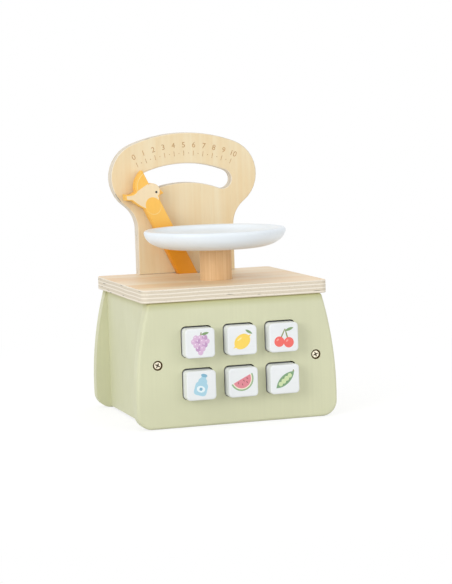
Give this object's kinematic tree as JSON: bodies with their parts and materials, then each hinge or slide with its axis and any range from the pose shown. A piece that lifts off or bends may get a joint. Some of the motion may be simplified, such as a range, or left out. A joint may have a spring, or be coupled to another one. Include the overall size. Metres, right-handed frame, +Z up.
{
  "type": "toy shop scale",
  "caption": "Wooden toy shop scale: bulging box with square push buttons, a sprung weighing pan on a post, and a bird-tipped pointer that swings along a curved dial.",
  "frame": {"origin": "on the floor, under the middle of the scale's box, buttons included", "axes": "+Z up, +X to the right as seen from the buttons, +Y to the back, where the dial stands"},
  "size_m": [0.135, 0.124, 0.185],
  "materials": {
    "sage_paint": "smooth satin sage-green paint on plywood",
    "bare_plywood": "bare sanded plywood with a thin clear finish",
    "beech": "bare turned beech",
    "white_paint": "smooth satin white paint on wood",
    "amber_paint": "satin amber-yellow paint on plywood, with painted bird",
    "brass_screws": "brass-plated cross-head screw",
    "steel": "bright steel wire and pin"
  },
  "bodies": {
    "box": {"front_panel": "sage_paint", "back_panel": "sage_paint", "left_side_panel": "sage_paint", "right_side_panel": "sage_paint", "top_board": "bare_plywood", "bottom_board": "bare_plywood", "dial_board": "bare_plywood", "button_guide": "bare_plywood", "bottom_battens": "beech", "dial_dowels": "beech", "side_dowels": "beech", "spring_peg": "beech", "front_screws": "brass_screws", "rear_screws": "brass_screws", "bottom_screws": "brass_screws", "pointer_pin": "steel", "return_spring": "steel", "spring_upper_left": "steel", "spring_upper_middle": "steel", "spring_upper_right": "steel", "spring_lower_left": "steel", "spring_lower_middle": "steel", "spring_lower_right": "steel"},
    "pan": {"weighing_pan": "white_paint", "pan_post": "beech", "carrier_bar": "beech", "carrier_screw": "steel", "cam_plate": "bare_plywood", "cam_screws": "brass_screws"},
    "pointer": {"pointer": "amber_paint", "drive_peg": "beech"},
    "upper_left_button": {"button_upper_left": "white_paint", "stem_upper_left": "beech"},
    "upper_middle_button": {"button_upper_middle": "white_paint", "stem_upper_middle": "beech"},
    "upper_right_button": {"button_upper_right": "white_paint", "stem_upper_right": "beech"},
    "lower_left_button": {"button_lower_left": "white_paint", "stem_lower_left": "beech"},
    "lower_middle_button": {"button_lower_middle": "white_paint", "stem_lower_middle": "beech"},
    "lower_right_button": {"button_lower_right": "white_paint", "stem_lower_right": "beech"}
  },
  "joints": [
    {"name": "pan_press", "type": "slide", "parent": "box", "child": "pan", "axis": [0, 0, -1], "range_m": [0, 0.014], "stiffness_N_per_m": 350, "springref_m": -0.01, "deforming": ["return_spring"]},
    {"name": "pointer_swing", "type": "hinge", "parent": "box", "child": "pointer", "pos_m": [0, 0.04785, 0.085], "axis": [0, 1, 0], "range_deg": [0, 45.7]},
    {"name": "upper_left_press", "type": "slide", "parent": "box", "child": "upper_left_button", "axis": [0, 1, 0], "range_m": [0, 0.004], "stiffness_N_per_m": 250, "springref_m": -0.004, "deforming": ["spring_upper_left"]},
    {"name": "upper_middle_press", "type": "slide", "parent": "box", "child": "upper_middle_button", "axis": [0, 1, 0], "range_m": [0, 0.004], "stiffness_N_per_m": 250, "springref_m": -0.004, "deforming": ["spring_upper_middle"]},
    {"name": "upper_right_press", "type": "slide", "parent": "box", "child": "upper_right_button", "axis": [0, 1, 0], "range_m": [0, 0.004], "stiffness_N_per_m": 250, "springref_m": -0.004, "deforming": ["spring_upper_right"]},
    {"name": "lower_left_press", "type": "slide", "parent": "box", "child": "lower_left_button", "axis": [0, 1, 0], "range_m": [0, 0.004], "stiffness_N_per_m": 250, "springref_m": -0.004, "deforming": ["spring_lower_left"]},
    {"name": "lower_middle_press", "type": "slide", "parent": "box", "child": "lower_middle_button", "axis": [0, 1, 0], "range_m": [0, 0.004], "stiffness_N_per_m": 250, "springref_m": -0.004, "deforming": ["spring_lower_middle"]},
    {"name": "lower_right_press", "type": "slide", "parent": "box", "child": "lower_right_button", "axis": [0, 1, 0], "range_m": [0, 0.004], "stiffness_N_per_m": 250, "springref_m": -0.004, "deforming": ["spring_lower_right"]}
  ],
  "couplings": [
    {"joint": "pointer_swing", "follows": "pan_press", "rad_per_m": 56.848}
  ]
}
